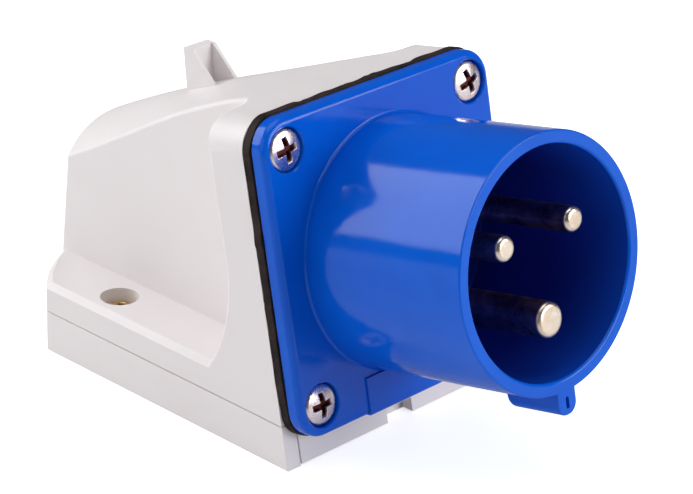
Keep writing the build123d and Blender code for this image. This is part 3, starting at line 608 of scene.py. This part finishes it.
def recess_shaded(tree, shader, metal, shade_colour, rough_metal, rough_recess):
    """Colour that goes over to a dark painted shade, and roughness that goes duller, where the screw's recess
    mark is high.
    """
    recess_shade = marked(tree, "recess_shade")
    tree.links.new(between(tree, recess_shade, metal, shade_colour), shader.inputs["Base Color"])
    rough = tree.nodes.new("ShaderNodeMix")
    tree.links.new(recess_shade, rough.inputs["Factor"])
    tree.links.new(rough_metal, rough.inputs["A"])
    rough.inputs["B"].default_value = rough_recess
    tree.links.new(rough.outputs["Result"], shader.inputs["Roughness"])


# In both metals the dark colour deep in the cross is painted shade of the recess.
nickel, tree, shader = material("nickel_plated_steel", (0.80, 0.74, 0.74), 0.16, metallic=1.0)
recess_shaded(tree, shader, clouded(tree, 900.0, 4.0, (0.80, 0.66, 0.68), (0.94, 0.85, 0.86)), (0.13, 0.035, 0.030),
       ranged(tree, noise(tree, 1500.0, 5.0), 0.24, 0.32), 0.5)
bumped(tree, shader, noise(tree, 400.0), 0.000008)
brass, tree, shader = material("plain_brass", (0.85, 0.62, 0.24), 0.22, metallic=1.0)
recess_shaded(tree, shader, clouded(tree, 700.0, 4.0, (0.72, 0.48, 0.16), (0.95, 0.74, 0.34)), (0.12, 0.05, 0.02),
       ranged(tree, noise(tree, 1500.0, 5.0), 0.16, 0.34), 0.5)
bumped(tree, shader, noise(tree, 900.0, 3.0), 0.00004)

# Each screw was driven until tight, so every cross stands at its own turn, in radians.
for side, x, more in (("left", -SCREW_X, 0.0), ("right", SCREW_X, 0.15)):
    for level, up, turn in (("upper", SCREW_UP, 0.16), ("lower", -SCREW_UP, 0.05)):
        seat = (CENTRE + MM * (x * ACROSS + up * UP - SINK * OUT), ACROSS, UP, OUT)
        screw = pan_screw("nickel_screw_" + level + "_" + side, seat, *FLANGE_SCREW, turn + more)
        dress(screw, nickel, "screw_steel", "flange_screw_" + level + "_" + side)
for side in ("left", "right"):
    low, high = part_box("cover_screw_" + side)
    middle = np.array([(low[0] + high[0]) / 2, (low[1] + high[1]) / 2, high[2] - LEDGE_SEAT * MM])
    seat = (middle, ACROSS, np.array([0.0, 1.0, 0.0]), np.array([0.0, 0.0, 1.0]))
    screw = pan_screw("brass_screw_" + side, seat, *LEDGE_SCREW, LEDGE_TURN, height=LEDGE_DOME)
    dress(screw, brass, "screw_brass", "cover_screw_" + side)

# Contacts: three turned pins of nickel plated brass, worn bright at the tip; the shank's dark brown is partly
# tarnish and partly painted shade inside the shroud.
# Each stands in the floor on a wider root, is clamped by a shoulder behind it and ends in a wire barrel.
PIN_REACH, PIN_TIP, PIN_COLLAR, SHOULDER, SHOULDER_BACK = 37.3, 1.1, 0.3, 2.5, -5.0
BARREL, BARREL_BACK, WIRE_BORE, WIRE_DEEP = 1.3, -21.0, 1.8, 11.0
FINE_EDGE, SHOULDER_EDGE, BARREL_EDGE = 0.1, 0.2, 0.4
WORN_LENGTH, WORN_RUN = 0.9, 0.4
pin_metal, tree, shader = material("nickel_plated_brass", (0.90, 0.78, 0.64), 0.22, metallic=1.0)
# The shank's dark brown is partly tarnish and partly painted shade inside the shroud.
tarnish_and_shade = clouded(tree, 300.0, 5.0, (0.36, 0.20, 0.16), (0.62, 0.40, 0.32))
bright = clouded(tree, 500.0, 4.0, (0.86, 0.67, 0.50), (1.00, 0.91, 0.80))
tree.links.new(between(tree, marked(tree, "worn"), tarnish_and_shade, bright), shader.inputs["Base Color"])
roughened(tree, shader, 300.0, 2.0, 0.24, 0.36)
bumped(tree, shader, noise(tree, 900.0), 0.000012)

for name, (x, up, radius) in CONTACTS.items():
    barrel, shoulder, collar = radius + BARREL, radius + SHOULDER, radius + PIN_COLLAR
    path = rounded([(0, BARREL_BACK + WIRE_DEEP, 0), (WIRE_BORE, BARREL_BACK + WIRE_DEEP, FINE_EDGE),
                    (WIRE_BORE, BARREL_BACK, FINE_EDGE), (barrel, BARREL_BACK, BARREL_EDGE),
                    (barrel, SHOULDER_BACK, 0), (shoulder, SHOULDER_BACK, SHOULDER_EDGE),
                    (shoulder, FLOOR_BACK, SHOULDER_EDGE), (collar, FLOOR_BACK, 0),
                    (collar, FLOOR_FRONT, FINE_EDGE), (radius, FLOOR_FRONT, 0), (radius, PIN_REACH, PIN_TIP),
                    (0, PIN_REACH, 0)], 8)
    pin = turned_skin(name + "_contact", path, x, up, 96)
    out = places_from(pin, CENTRE) @ OUT
    mark(pin, "worn", np.clip((out - PIN_REACH + WORN_LENGTH) / WORN_RUN, 0, 1))
    shade(pin)
    dress(pin, pin_metal, "pin_metal", name + "_pin")

# Hidden parts: the black moulded carrier that clamps the pins, its two steel screws, the three steel
# terminal screws, and the rubber grommet pushed into the cable's way in. All are smooth copies of
# their solids.
carrier_plastic, tree, shader = material("black_moulding", (0.03, 0.03, 0.032), 0.5)
roughened(tree, shader, 600.0, 4.0, 0.4, 0.6)
bumped(tree, shader, noise(tree, 2500.0, 3.0), 0.00004)
grommet_rubber, tree, shader = material("grommet_rubber", (0.03, 0.03, 0.03), 0.7)
tree.links.new(clouded(tree, 300.0, 4.0, (0.022, 0.022, 0.022), (0.04, 0.04, 0.04)),
               shader.inputs["Base Color"])
bumped(tree, shader, noise(tree, 1800.0, 3.0), 0.00006)
smooth_copy("contact_carrier", "carrier_disc", carrier_plastic, "carrier_plastic")
smooth_copy("cable_grommet", "grommet", grommet_rubber, "grommet_rubber")
for name in ("line_terminal_screw", "neutral_terminal_screw", "earth_terminal_screw", "carrier_screw_left",
             "carrier_screw_right"):
    smooth_copy(name, "steel_" + name, nickel, "screw_steel")
